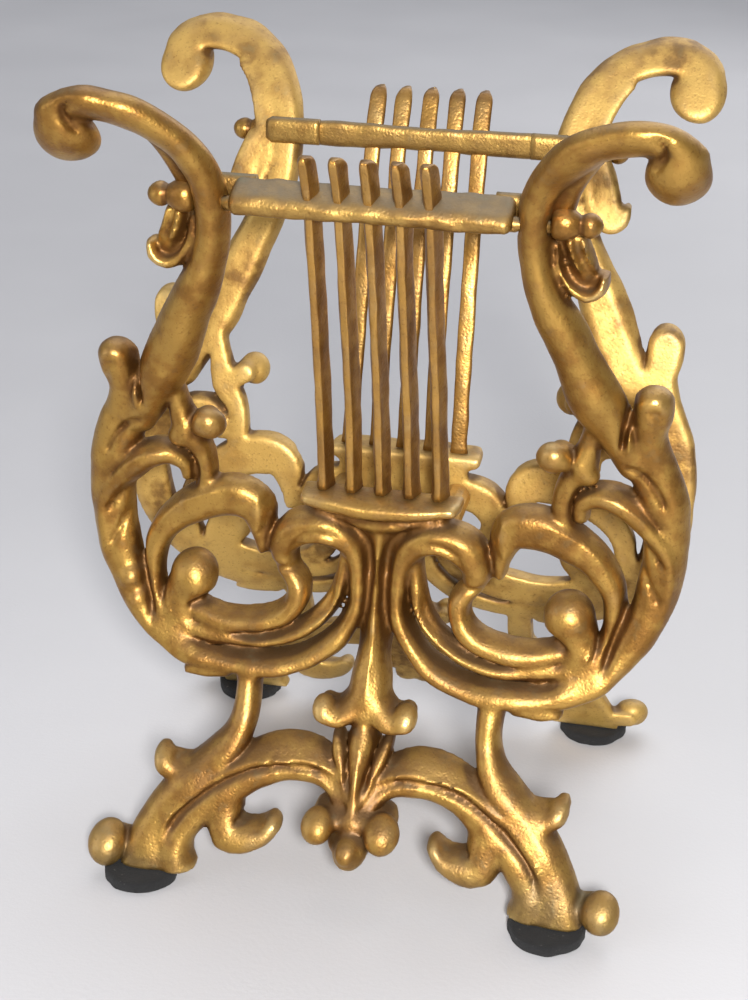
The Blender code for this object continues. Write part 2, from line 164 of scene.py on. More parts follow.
# Strokes of the right half: across, up, half width, height.
strokes = {
    "arm": [
        (57.2, 163.8, 5.3, 9.6), (58.0, 167.2, 4.6, 9.0), (54.6, 170.0, 4.1, 8.4), (48.8, 170.5, 4.0, 8.3),
        (42.2, 168.5, 4.1, 8.4), (35.8, 163.5, 4.0, 8.3), (32.2, 156.9, 3.7, 8.2), (31.2, 149.7, 3.6, 8.2),
        (31.9, 142.7, 3.8, 8.3), (34.3, 135.5, 4.3, 8.6), (38.2, 127.3, 5.0, 9.0), (42.0, 119.0, 5.7, 9.2),
        (45.0, 112.6, 5.8, 9.0), (48.8, 106.2, 5.0, 8.4), (53.0, 99.0, 4.6, 7.4),
    ],
    "outerBand": [
        (53.6, 106.2, 3.4, 5.6), (55.6, 99.8, 5.2, 6.8), (58.8, 91.7, 5.6, 7.4), (60.2, 83.7, 5.2, 7.4),
        (60.4, 75.7, 5.0, 7.2), (59.4, 67.7, 4.9, 7.0), (57.0, 60.7, 4.5, 6.8), (53.2, 54.5, 3.9, 6.6),
        (48.4, 49.2, 3.4, 6.4), (42.4, 45.9, 2.9, 6.2), (36.0, 44.6, 2.5, 6.0),
    ],
    "archLeaf": [
        (26.2, 69.6, 1.7, 5.2), (26.4, 73.5, 2.6, 6.2), (27.8, 79.0, 4.7, 7.0), (32.6, 81.2, 5.3, 7.4),
        (39.6, 79.2, 4.9, 7.4), (46.0, 75.0, 3.9, 7.0), (50.0, 69.5, 3.0, 6.6), (51.3, 62.7, 2.6, 6.2),
        (50.0, 56.1, 2.5, 6.2), (46.2, 50.5, 2.6, 6.2), (41.5, 47.0, 2.7, 6.4),
    ],
    "ring": [
        (44.0, 47.6, 2.4, 6.0), (38.0, 45.5, 2.6, 6.6), (31.0, 44.7, 2.6, 6.8), (22.5, 44.8, 2.6, 6.8),
        (14.5, 47.2, 2.7, 6.8), (8.4, 51.9, 2.7, 6.8), (5.0, 58.3, 2.6, 6.8), (4.4, 65.2, 2.6, 6.8),
        (5.3, 70.9, 3.0, 7.2), (8.6, 75.0, 3.7, 7.8), (13.4, 76.5, 4.2, 8.4), (18.6, 75.0, 4.3, 8.4),
        (21.4, 70.7, 3.7, 7.6), (20.6, 66.6, 2.8, 6.4),
    ],
    "innerRidge": [
        (7.6, 70.7, 1.9, 5.2), (8.4, 63.7, 2.2, 5.6), (10.6, 58.1, 2.3, 5.8), (14.8, 53.7, 2.3, 5.8),
        (20.6, 50.7, 2.3, 5.8), (28.0, 49.3, 2.3, 5.8), (35.5, 49.7, 2.3, 5.8), (42.0, 51.1, 2.4, 5.8),
    ],
    "innerScroll": [
        (20.6, 66.3, 2.5, 6.2), (17.9, 62.3, 2.8, 6.8), (18.8, 57.7, 2.8, 6.8), (22.7, 54.6, 2.7, 6.8),
        (28.5, 53.0, 2.7, 6.6), (34.5, 52.8, 2.7, 6.4), (40.0, 54.2, 2.6, 6.0),
    ],
    "bulbNeck": [(43.6, 50.2, 3.8, 5.8), (44.6, 54.4, 4.6, 6.6), (43.2, 59.0, 5.0, 7.4)],
    "leafBranch": [
        (42.6, 85.6, 1.9, 6.0), (42.9, 88.6, 2.2, 6.8), (46.4, 90.9, 2.8, 7.8), (51.4, 89.6, 3.3, 8.8),
        (56.3, 85.5, 3.5, 8.9), (60.2, 80.0, 3.0, 8.4), (61.8, 73.2, 2.2, 7.8), (61.4, 66.2, 1.4, 6.4),
    ],
    "curl": [
        (55.8, 101.5, 4.2, 7.0), (55.2, 106.4, 3.7, 7.2), (55.6, 110.6, 4.2, 7.8), (55.8, 113.4, 4.3, 7.8),
    ],
    "strut": [
        (45.2, 109.0, 2.6, 5.0), (43.7, 103.2, 2.5, 5.6), (42.2, 97.2, 3.3, 6.8), (39.4, 92.2, 2.7, 6.0),
        (38.5, 87.6, 2.4, 5.6), (39.2, 81.3, 2.8, 5.8),
    ],
    "ballNeck": [(42.6, 96.6, 2.6, 6.6), (37.6, 99.7, 2.6, 7.6)],
    "legStem": [
        (27.4, 44.8, 3.2, 6.4), (27.1, 39.6, 3.1, 6.6), (27.2, 34.3, 3.2, 6.6), (28.8, 29.6, 3.6, 6.8),
        (33.0, 25.2, 4.0, 6.8), (38.2, 20.2, 4.2, 6.8), (42.8, 14.1, 4.4, 6.8), (46.2, 7.6, 4.4, 6.8),
        (47.8, 2.4, 4.4, 6.8),
    ],
    "baseArc": [
        (2.4, 20.6, 2.2, 7.4), (5.6, 25.0, 3.4, 6.8), (10.3, 27.4, 4.4, 6.8), (16.8, 27.5, 4.8, 6.8),
        (23.1, 25.2, 4.8, 6.8), (29.0, 21.2, 5.0, 6.8), (34.6, 16.2, 4.6, 6.8), (38.8, 10.3, 4.0, 6.8),
        (39.6, 5.6, 4.2, 6.8), (38.8, 2.4, 4.7, 6.6),
    ],
    "footFill": [(42.4, 15.0, 3.6, 6.4), (43.8, 9.0, 4.0, 6.6), (44.2, 2.4, 4.2, 6.6)],
    "innerLobe": [
        (29.6, 20.6, 5.0, 6.6), (29.2, 15.2, 4.7, 6.8), (28.2, 11.8, 4.3, 6.8), (24.6, 11.2, 3.8, 6.6),
        (20.6, 12.2, 2.9, 6.4), (18.2, 14.2, 2.1, 6.0),
    ],
    "nub": [(37.0, 22.4, 3.6, 5.8), (41.0, 22.6, 3.1, 6.0), (43.8, 23.9, 2.6, 6.2), (44.6, 25.2, 1.8, 5.8)],
    "ballStem": [(46.0, 6.1, 2.4, 5.2), (54.2, 6.6, 2.4, 6.4)],
    "bellyPoint": [(32.6, 43.6, 2.8, 5.8), (38.0, 42.6, 2.3, 5.4), (41.4, 42.0, 1.1, 4.6)],
    "fleurLobe": [
        (0.6, 42.4, 3.4, 7.4), (3.6, 38.6, 3.2, 7.8), (6.8, 37.4, 2.5, 8.0), (8.8, 38.2, 2.3, 7.8),
    ],
    "blade": [(5.8, 33.6, 1.1, 5.6), (4.8, 30.6, 1.9, 6.8), (3.0, 26.8, 1.7, 7.4), (1.6, 22.6, 1.3, 7.6)],
    "clusterNeck": [(0.0, 19.2, 2.6, 9.0), (6.8, 18.4, 2.6, 9.4)],
    "clusterDrop": [(0.4, 15.6, 3.0, 9.0), (2.4, 14.6, 3.0, 8.6)],
    "leafCup": [(38.2, 150.4, 2.2, 4.2), (39.6, 145.0, 3.2, 4.4), (41.0, 140.6, 3.2, 4.6)],
    "leafCupLip": [(35.4, 147.0, 0.9, 4.6), (36.2, 142.2, 1.2, 5.8), (38.4, 138.6, 1.5, 6.8),
                   (41.4, 137.0, 1.7, 7.4), (44.0, 138.4, 1.6, 7.2), (44.6, 140.8, 1.2, 6.2)],
    "topLeaf": [(35.4, 146.0, 2.0, 2.8), (36.0, 152.0, 2.5, 3.6), (37.4, 157.8, 2.5, 3.6),
                (39.6, 162.2, 2.2, 3.2), (42.4, 165.4, 1.8, 3.0)],
}
centreStrokes = {
    "column": [(0.0, 79.0, 2.4, 6.4), (0.0, 70.0, 1.5, 6.8), (0.0, 60.0, 1.7, 7.0), (0.0, 53.4, 2.7, 7.2),
               (0.0, 47.4, 3.9, 7.4), (0.0, 42.4, 4.6, 7.8), (0.0, 39.2, 3.4, 7.6)],
    "columnWeb": [(0.0, 80.0, 12.0, 5.6), (0.0, 75.5, 7.0, 5.4), (0.0, 70.0, 4.6, 5.2), (0.0, 58.0, 4.4, 5.0),
                  (0.0, 50.0, 3.6, 5.2)],
    "lowerStem": [(0.0, 36.4, 2.4, 7.0), (0.0, 33.0, 3.5, 7.6), (0.0, 29.0, 3.0, 8.2), (0.0, 24.6, 1.9, 8.6),
                  (0.0, 17.6, 3.0, 9.2)],
    "collar": [(-15.6, 84.4, 1.9, 8.6), (-9.0, 83.6, 2.2, 9.8), (0.0, 82.9, 2.4, 10.4), (9.0, 83.6, 2.2, 9.8),
               (15.6, 84.4, 1.9, 8.6)],
    "collarTop": [(-14.8, 84.6, 2.0, 8.0), (0.0, 84.0, 2.2, 9.4), (14.8, 84.6, 2.0, 8.0)],
    "collarNeck": [(-12.0, 80.6, 3.0, 5.6), (0.0, 80.0, 3.2, 7.6), (12.0, 80.6, 3.0, 5.6)],
}
# Round bosses of the right half: across, up, radius, height of the centre.
bosses = {
    "scroll": (57.0, 163.9, 6.0, 4.4),
    "bulb": (41.6, 62.2, 5.4, 3.4),
    "branch": (36.4, 99.4, 3.6, 5.2),
    "strutLump": (43.4, 95.6, 2.6, 4.4),
    "nub": (43.4, 24.0, 2.7, 3.4),
    "foot": (54.8, 6.8, 4.2, 5.0),
    "cluster": (7.2, 18.2, 3.5, 8.8),
    "fleur": (9.0, 38.8, 2.7, 5.8),
}
leftKnobs = [(-56.0, 60.8, 2.9, 5.2), (-54.4, 56.2, 2.2, 5.2)]
drops = [(0.6, 14.0, 3.5, 8.4), (0.2, 15.0, 2.1, 11.2)]

# Fine lines of the right half: points, half width, depth (below nought is a groove).
chasing = [
    ([(2.2, 23.6), (5, 27), (10, 28.7), (17, 28.4), (24, 27), (30, 24), (35, 20.3), (40, 15.3), (42, 11.2),
      (41.4, 8.2), (39.8, 6.6)], 0.55, 0.7),
    ([(3.4, 22.6), (6, 25.8), (10.6, 27.4), (17, 27.1), (23.5, 25.6), (29.2, 22.7), (34, 19.2), (38.7, 14.6),
      (40.3, 11.2), (40, 8.8)], 0.65, -1.0),
    ([(6.6, 66), (6.9, 60), (10.6, 54.4), (16.6, 49.6), (24, 47.6), (31, 47.6), (37.5, 49.2)], 0.9, -1.7),
    ([(9.8, 66), (10.6, 60), (14.4, 55.6), (20, 52.4), (27, 51), (33, 51)], 0.6, -1.1),
    ([(8.2, 64), (9, 59.4), (12, 55.6), (17, 52.2), (23, 50), (30, 49.2)], 0.5, 0.5),
    ([(8.8, 73.4), (12.4, 74.6), (15.8, 73.2), (17.2, 70)], 0.8, 0.5),
    ([(8, 75.6), (12.5, 76.6), (16.8, 75), (18.8, 71)], 0.6, -0.8),
    ([(17.6, 67.8), (20.2, 66.4), (23.2, 66.8)], 0.6, -1.0),
    ([(54.4, 85), (53.9, 77), (53.6, 68), (52, 60.5), (50.6, 55), (50, 50.4)], 0.75, -2.0),
    ([(50, 99.8), (54.5, 98), (57.8, 94.2), (60.4, 89.4)], 0.7, -1.2),
    ([(54.4, 83.8), (57.8, 80.2), (61.2, 75.6)], 0.7, -1.3),
    ([(55.4, 77.4), (57.6, 73), (60.4, 67.6)], 0.6, -1.0),
    ([(46, 93), (51, 92.2), (56, 88.6), (60, 84)], 0.5, -0.9),
    ([(36.4, 58.6), (39.4, 57.6), (42.4, 55.4)], 0.7, -1.6),
    ([(47.6, 63.5), (47.6, 58), (46, 53)], 0.5, 0.5),
    ([(39.4, 103), (40.5, 98.8), (39.8, 95.4)], 0.6, -1.0),
    ([(52.2, 171.8), (54.6, 170.4), (54.4, 167.4), (52.4, 164.6)], 0.6, -1.2),
    ([(52.6, 117), (51.2, 112.5), (50.4, 108), (50.2, 103)], 0.65, -2.6),
    ([(52.4, 110.5), (51.5, 107), (51.4, 102.5)], 0.45, 0.6),
    ([(54.6, 113.6), (57, 112), (57.2, 107.6)], 0.8, -0.7),
    ([(37.6, 149.2), (38.6, 145.2), (40.6, 141.4)], 0.7, 1.8),
    ([(40.2, 149.2), (41.4, 145.6), (43.4, 141.8)], 0.7, 1.6),
    ([(25, 83.4), (24.6, 78.4), (26.2, 73)], 0.6, -0.8),
    ([(26.8, 84.4), (26.6, 79), (27.6, 73)], 0.6, 0.5),
    ([(34.4, 84.6), (38.8, 82.2), (44, 79.6), (49.4, 74.2)], 0.7, 0.5),
    ([(2.2, 37.2), (5.2, 34.6), (9, 35.2)], 0.5, -0.6),
    ([(2.6, 34.4), (2.5, 29), (1.7, 24.2)], 0.5, -1.2),
    ([(20.6, 16.6), (21.6, 13.8)], 1.1, -1.8),
    ([(40.8, 26.4), (41.4, 24.4)], 0.8, -1.2),
    ([(1.6, 80.2), (7, 80.6), (13.5, 81.8)], 0.5, -0.7),
    ([(9.6, 79.6), (5.4, 77.6), (2.4, 74), (1.6, 66)], 0.6, -0.9),
    ([(0, 76), (0, 66), (0, 54), (0, 41)], 0.65, 0.6),
    ([(0, 34.6), (0, 29), (0, 24)], 0.6, 0.6),
]


def nearest(path, across, up):
    # Distance to a path at each place, the path's own values there, and how far along it is.
    starts, ends = path[:-1], path[1:]
    spans = ends - starts
    lengths = np.hypot(spans[:, 0], spans[:, 1])
    along = np.concatenate([[0], np.cumsum(lengths)])
    best = np.full(across.shape, 1e9)
    values = np.zeros(across.shape + (path.shape[1],))
    share = np.zeros(across.shape)
    for start, span, length, done in zip(starts, spans, lengths, along):
        t = ((across - start[0]) * span[0] + (up - start[1]) * span[1]) / max(length**2, 1e-9)
        t = np.clip(t, 0, 1)
        distance = np.hypot(across - start[0] - t * span[0], up - start[1] - t * span[1])
        closer = distance < best
        best[closer] = distance[closer]
        values[closer] = (start + t[..., None] * span)[closer]
        share[closer] = ((done + t * length) / along[-1])[closer]
    return best, values, share


def softMost(a, b, width):
    # The greater of two values, rounded where they meet.
    overlap = np.clip(width - np.abs(a - b), 0, None) / width
    return np.maximum(a, b) + overlap**2 * width / 4


def mirrored(points, side):
    return np.array([(point[0] * side, *point[1:]) for point in points], float)


def windowOf(across, up, low, high):
    # The samples between two corners.
    ends = np.searchsorted(across, (low[0], high[0])), np.searchsorted(up, (low[1], high[1]))
    return tuple(slice(*pair) for pair in ends)


def carvedLines(across, up, flatAcross, flatUp):
    # How much the chasing adds or takes away at each place on the face.
    carving = np.zeros(flatAcross.shape)
    for points, width, depth in chasing:
        onCentre = max(point[0] for point in points) == 0
        for side in (1,) if onCentre else (1, -1):
            path = smoothPath(mirrored(points, side), 1.0)
            window = windowOf(across, up, path.min(0) - 3 * width, path.max(0) + 3 * width)
            distance, _, share = nearest(path, flatAcross[window], flatUp[window])
            fade = np.clip(np.minimum(share, 1 - share) / 0.15, 0.15, 1)  # shallow at both ends
            carving[window] += depth * fade * np.exp(-((distance / width) ** 2))
    return carving


def reliefField():
    # How far inside the casting each sample is, in mm.
    cell = casting["cell"]
    wide, tall, deep = casting["reach"]
    across = np.arange(-math.ceil(wide / cell), math.ceil(wide / cell) + 1) * cell
    up = np.arange(0, tall + 2, cell)
    height = np.arange(-2 * cell, deep, cell)
    flatAcross, flatUp = np.meshgrid(across, up, indexing="ij")
    carving = carvedLines(across, up, flatAcross, flatUp)
    field = np.full((len(across), len(up), len(height)), -3.0)

    def grow(low, high, shape):
        window = windowOf(across, up, low, high)
        lifted = height - carving[window][..., None] * np.clip(height / 3, 0, 1)
        found = shape(flatAcross[window], flatUp[window], lifted)
        field[window] = softMost(field[window], found, casting["blend"])

    def addStroke(points, section):
        path = smoothPath(points)
        power, undercut = section

        def shape(a, u, h):
            distance, values, _ = nearest(path, a, u)
            width, top = values[..., 2, None], values[..., 3, None]
            slim = width * (1 - undercut * (1 - np.clip(h / casting["undercutHeight"], 0, 1) ** 0.7))
            sideways, upward = distance[..., None] / slim, np.clip(h, 0, None) / top
            return (1 - (sideways**power + upward**power) ** (1 / power)) * np.sqrt(width * top)

        margin = path[:, 2].max() + 2
        grow(path[:, :2].min(0) - margin, path[:, :2].max(0) + margin, shape)

    def addBoss(a0, u0, radius, h0):
        def shape(a, u, h):
            return radius - np.sqrt((a - a0)[..., None] ** 2 + (u - u0)[..., None] ** 2 + (h - h0) ** 2)

        grow((a0 - radius - 2, u0 - radius - 2), (a0 + radius + 2, u0 + radius + 2), shape)

    for side in (1, -1):
        for name, points in strokes.items():
            addStroke(mirrored(points, side), casting["armSection" if name == "arm" else "section"])
        for a, u, radius, h in bosses.values():
            addBoss(a * side, u, radius, h)
    for name, points in centreStrokes.items():
        addStroke(points, casting["collarSection" if name.startswith("collar") else "centreSection"])
    for boss in drops + leftKnobs:
        addBoss(*boss)

    # Trim the back, the soles, the top of the collar and the holes for the tenons.
    a, u, h = across[:, None, None], up[None, :, None], height[None, None, :]
    onCollar = (np.abs(a) < casting["collarHalfWidth"]) & (u > casting["collarBottom"])
    collarTop = np.where(onCollar, casting["collarTop"] - u, 99.0)
    hole = np.hypot(u - casting["yokeHeight"], h - casting["yokeAxis"]) - casting["tenonHole"]
    cuts = ((h, casting["backEdge"]), (u - casting["soleHeight"], casting["cutEdge"]),
            (collarTop, casting["cutEdge"]), (hole, casting["cutEdge"]))
    for limit, edge in cuts:
        field = -softMost(-field, -np.broadcast_to(limit, field.shape), edge)
    return field, np.array([across[0], up[0], height[0]]), cell


def surfaceNet(field, origin, cell):
    # Points and four-sided faces of the surface where the field passes nought.
    inside = field > 0
    shape = tuple(n - 1 for n in field.shape)
    total, count = np.zeros(shape + (3,)), np.zeros(shape)
    crossings = []
    for axis in range(3):
        one = tuple(slice(0, -1) if k == axis else slice(None) for k in range(3))
        two = tuple(slice(1, None) if k == axis else slice(None) for k in range(3))
        a, b = field[one], field[two]
        crossed = inside[one] != inside[two]
        share = np.where(crossed, a / np.where(crossed, a - b, 1), 0)
        crossings.append((crossed, inside[one]))
        others = [k for k in range(3) if k != axis]
        for first in (0, 1):
            for second in (0, 1):
                cut = [slice(None)] * 3
                for k, shift in zip(others, (first, second)):
                    cut[k] = slice(shift, shift + shape[k])
                hit = crossed[tuple(cut)]
                total[..., axis] += share[tuple(cut)]
                total[..., others[0]] += hit * first
                total[..., others[1]] += hit * second
                count += hit
    active = count > 0
    number = np.full(shape, -1)
    number[active] = np.arange(active.sum())
    points = (np.argwhere(active) + total[active] / count[active][:, None]) * cell + origin
    faces = []
    for axis, (crossed, filled) in enumerate(crossings):
        others = [k for k in range(3) if k != axis]
        cut = [slice(None)] * 3
        for k in others:
            cut[k] = slice(1, shape[k])
        places = np.argwhere(crossed[tuple(cut)])
        for k in others:
            places[:, k] += 1
        corners = []
        for first, second in ((1, 1), (0, 1), (0, 0), (1, 0)):
            corner = places.copy()
            corner[:, others[0]] -= first
            corner[:, others[1]] -= second
            corners.append(number[tuple(corner.T)])
        quads = np.stack(corners, -1)
        turned = filled[tuple(places.T)] == (axis == 1)
        quads[turned] = quads[turned][:, ::-1]
        faces.append(quads)
    return points, np.concatenate(faces)


def edgesOf(faces):
    ends = np.concatenate([faces[:, [k, (k + 1) % 4]] for k in range(4)])
    return np.unique(np.sort(ends, axis=1), axis=0)


def neighbourMean(values, edges, counts):
    out = np.zeros_like(values)
    for one, two in (edges.T, edges.T[::-1]):
        if values.ndim == 1:
            out += np.bincount(one, values[two], len(values))
        else:
            for k in range(values.shape[1]):
                out[:, k] += np.bincount(one, values[two, k], len(values))
    return out / (counts if values.ndim == 1 else counts[:, None])


def normalsOf(points, faces):
    cross = np.cross(points[faces[:, 2]] - points[faces[:, 0]], points[faces[:, 3]] - points[faces[:, 1]])
    out = np.zeros_like(points)
    for k in range(4):
        for axis in range(3):
            out[:, axis] += np.bincount(faces[:, k], cross[:, axis], len(points))
    return out / np.maximum(np.linalg.norm(out, axis=1, keepdims=True), 1e-12)


# Painted shade and grime on the castings: places crowded round by metal and sideways walls near the back are
# painted darker, and open ridges paler, as a painted highlight with wear.
shadeAndWearLook = {
    "looks": ((0.7, 0.9, 3.2), (1.8, 2.6, 2.4)),  # distance off the surface, blur, and share
    "wallShadeAndGrime": 0.35, "wallHeight": 5.0,             # painted shade and grime on the sides, near the back
    "passes": 3,
}


def crowding(field, places, origin, cell, blur):
    # How much metal there is around each place, from nought to one.
    freq = np.meshgrid(*[np.fft.fftfreq(n, cell) for n in field.shape], indexing="ij", sparse=True)
    keep = np.exp(-2 * (math.pi * blur) ** 2 * sum(f**2 for f in freq))
    full = np.fft.ifftn(np.fft.fftn((field > 0).astype(float)) * keep).real
    return between(full, (places - origin) / cell)


def shadeAndWearOf(field, points, normals, origin, cell, edges, counts):
    # Painted shade with grime: darker on sideways walls near the back and where metal crowds round, paler on
    # open ridges.
    height = np.clip(1 - points[:, 2] / shadeAndWearLook["wallHeight"], 0, 1)
    shadeAndWear = shadeAndWearLook["wallShadeAndGrime"] * (1 - np.abs(normals[:, 2])) * height
    for reach, blur, share in shadeAndWearLook["looks"]:
        crowd = crowding(field, points + normals * reach, origin, cell, blur)
        shadeAndWear = shadeAndWear + share * (crowd - np.median(crowd))
    for _ in range(shadeAndWearLook["passes"]):
        shadeAndWear = neighbourMean(shadeAndWear, edges, counts)
    return np.clip(shadeAndWear, -1, 1)


def wavesOn(points, seed):
    # The slow unevenness of a sand casting.
    grid = np.array(casting["waveGrid"])
    halfWide, tall, _ = casting["reach"]
    bumps = 0
    for k, (size, share) in enumerate(casting["waveBlobs"]):
        bumps = bumps + share * grownNoise(tuple(grid), size, seed + k)
    spots = np.stack([(points[:, 0] / halfWide + 1) / 2, points[:, 1] / (tall + 2)], -1)
    return between(bumps, spots * (grid - 2)) * casting["waviness"]


def castPieces():
    field, origin, cell = reliefField()
    points, faces = surfaceNet(field, origin, cell)
    edges = edgesOf(faces)
    counts = np.maximum(np.bincount(edges.ravel(), minlength=len(points)), 1)
    for pull in casting["smoothing"] * casting["smoothingPasses"]:
        points = points + pull * (neighbourMean(points, edges, counts) - points)
    print("relief sampled,", len(faces), "faces")
    normals = normalsOf(points, faces)
    shadeAndWear = shadeAndWearOf(field, points, normals, origin, cell, edges, counts)
    calm = np.clip(points[:, 2] / 2.5, 0.25, 1)  # the flat back waves less
    made = []
    for side, seed in casting["waveSeeds"].items():
        moved = points + normals * (wavesOn(points, seed) * calm)[:, None]
        moved[:, 1] = np.maximum(moved[:, 1], casting["soleHeight"])
        moved[:, 2] = np.maximum(moved[:, 2], -0.1)
        made.append(finishPiece(side + "Casting", onSide(placed(*moved.T), side), faces,
                                side + "_lyre_casting", shadeAndWear))
    return made


castings = castPieces()
print("castings built")


def outward(points, faces):
    # Turns a closed shape's faces to look out.
    volume = 0
    for face in faces:
        for b, c in zip(face[1:], face[2:]):
            volume += np.dot(points[face[0]], np.cross(points[b], points[c]))
    return faces if volume > 0 else [face[::-1] for face in faces]


def loft(rings):
    # A closed shape through stacked rings of equal length.
    n = len(rings[0])
    points, faces = np.concatenate(rings), []
    for start in range(0, len(points) - n, n):
        for i in range(n):
            j = (i + 1) % n
            faces.append((start + i, start + j, start + n + j, start + n + i))
    faces.append(tuple(range(n))[::-1])
    faces.append(tuple(range(len(points) - n, len(points))))
    return points, outward(points, faces)


def joined(*parts):
    points, faces, start = [], [], 0
    for part, own in parts:
        points.append(part)
        faces += [tuple(start + i for i in face) for face in own]
        start += len(part)
    return np.concatenate(points), faces


def fullTurn(count):
    return np.linspace(0, 2 * math.pi, count, endpoint=False)


def roundedSection(corners, cut=0.22):
    # A closed outline whose corners are rounded by cutting them twice.
    ring = np.array(corners, float)
    for _ in range(2):
        after = np.roll(ring, -1, axis=0)
        ring = np.stack([(1 - cut) * ring + cut * after, cut * ring + (1 - cut) * after], 1).reshape(-1, 2)
    return ring


def roughened(ring, heart, wave):
    # Moves each point of a section away from its heart by the wave there.
    away = ring - heart
    return ring + away / np.linalg.norm(away, axis=1, keepdims=True) * wave[:, None]


yoke = {
    "height": casting["yokeHeight"], "halfLength": 27.3, "depth": 7.5,
    "backHalfHeight": 3.0, "frontHalfHeight": 1.9,
    "lean": 0.3,                        # how much the bar tilts with the casting
    "endRounding": 1.4,
    "steps": 84, "waviness": 0.08,
    "strapEnd": 35.2, "strapLap": 4.0,  # a flat strap runs on across the back of each arm
    "strapBack": -1.5, "strapFront": 1.2, "strapRounding": 1.2, "strapSteps": 12,
    "tenonStart": 22.0, "tenonEnd": 38.4, "tenonRadius": 1.2, "tenonShoulder": 1.25,
}


def yokeSection():
    # Height above the back, and up.
    low, high, deep = yoke["backHalfHeight"], yoke["frontHalfHeight"], yoke["depth"]
    return roundedSection([(-0.1, -low), (deep * 0.5, -low * 0.9), (deep - 0.9, -high), (deep, -high * 0.3),
                           (deep, high * 0.4), (deep - 1.0, high), (deep * 0.5, high * 1.16),
                           (-0.1, low * 0.84)])


def yokeRings(seed):
    deep, half, rounding = yoke["depth"], yoke["halfLength"], yoke["endRounding"]
    outline = yokeSection()
    across = np.linspace(-1, 1, yoke["steps"]) * half
    wave = grownNoise((len(across), len(outline)), 5, seed) * yoke["waviness"]
    rings, paintedLight = [], []
    for u, rough in zip(across, wave):
        end = max(0.0, abs(u) - half + rounding) / rounding
        swell = 1 + 0.05 * math.sin(u / 6.1 + seed)
        ring = outline * (1, (1 - 0.42 * end**2.2) * swell)
        ring[:, 0] -= np.clip(ring[:, 0] - 3, 0, None) * 0.3 * end**2
        ring = roughened(ring, ring.mean(0), rough)
        ring[:, 0] = np.maximum(ring[:, 0], -0.1)
        lean = yoke["lean"] * (deep - ring[:, 0])
        rings.append(placedStraight(u, yoke["height"], ring[:, 1] + lean, ring[:, 0]))
        # Painted light on the bar: shade painted on its top and underside, and a highlight painted along the
        # back and front edges.
        paintedLight += list(np.interp(ring[:, 0], [0, 1, deep * 0.5, deep * 0.9], [-0.2, 0.15, 0.25, -0.1]))
    return rings, paintedLight


def yokeTenon(sign):
    half, radius = yoke["halfLength"], yoke["tenonRadius"]
    thick = radius * yoke["tenonShoulder"]
    turn = fullTurn(16)
    rings = []
    for along, wide in ((yoke["tenonStart"], thick), (half + 0.4, thick), (half + 1.2, radius),
                        (yoke["tenonEnd"], radius)):
        rings.append(placedStraight(along * sign, yoke["height"], wide * np.sin(turn),
                                    casting["yokeAxis"] + wide * np.cos(turn)))
    return loft(rings)


def yokeStrap(sign):
    low, high = -1.02 * yoke["backHalfHeight"], 0.84 * yoke["backHalfHeight"]
    back, front = yoke["strapBack"], yoke["strapFront"]
    end, rounding = yoke["strapEnd"], yoke["strapRounding"]
    outline = roundedSection([(back, low), (front, low), (front, high), (back, high)])
    rings = []
    for u in np.linspace(yoke["halfLength"] - yoke["strapLap"], end, yoke["strapSteps"]):
        ring = outline * (1 - 0.25 * max(0.0, (u - end + rounding) / rounding) ** 2)
        lift = ring[:, 1] + yoke["lean"] * yoke["depth"]
        rings.append(placedStraight(u * sign, yoke["height"], lift, ring[:, 0]))
    return loft(rings)


def yokeBar(side, seed):
    rings, paintedLight = yokeRings(seed)
    points, faces = joined(loft(rings), yokeTenon(1), yokeTenon(-1), yokeStrap(1), yokeStrap(-1))
    paintedLight += [0.0] * (len(points) - len(paintedLight))
    return finishPiece(side + "Yoke", onSide(points, side), faces, side + "_yoke_bar",
                       paintedLight)


yokes = [yokeBar("front", 5), yokeBar("rear", 11)]
print("yoke bars built")

strings = {
    "count": 5, "rootSpacing": 6.2, "topSpacing": 5.8, "rootHeight": 86.0, "topHeight": 161.8,
    "backHalfWidth": 1.8, "frontHalfWidth": 0.82, "setIn": 1.0, "depth": 4.7,
    "waviness": 0.07, "sway": 0.05,
    "tip": 2.4,                              # length of the rounded top
    "footFlare": 0.16, "footHeight": 2.2,
    "headAboveYoke": 3.0, "headWidth": 1.06,  # the heads are a little wider than the strings below
    "steps": 64, "tipSteps": 8,
}


def stringSection(start, end):
    # Across, and height above the back.
    back, front = strings["backHalfWidth"], strings["frontHalfWidth"]
    half = [(back, start), (back * 0.92, start + 1.6), (front, end - 0.5), (front * 0.8, end)]
    return roundedSection([(-back, start)] + half + [(-a, h) for a, h in half[:0:-1]])


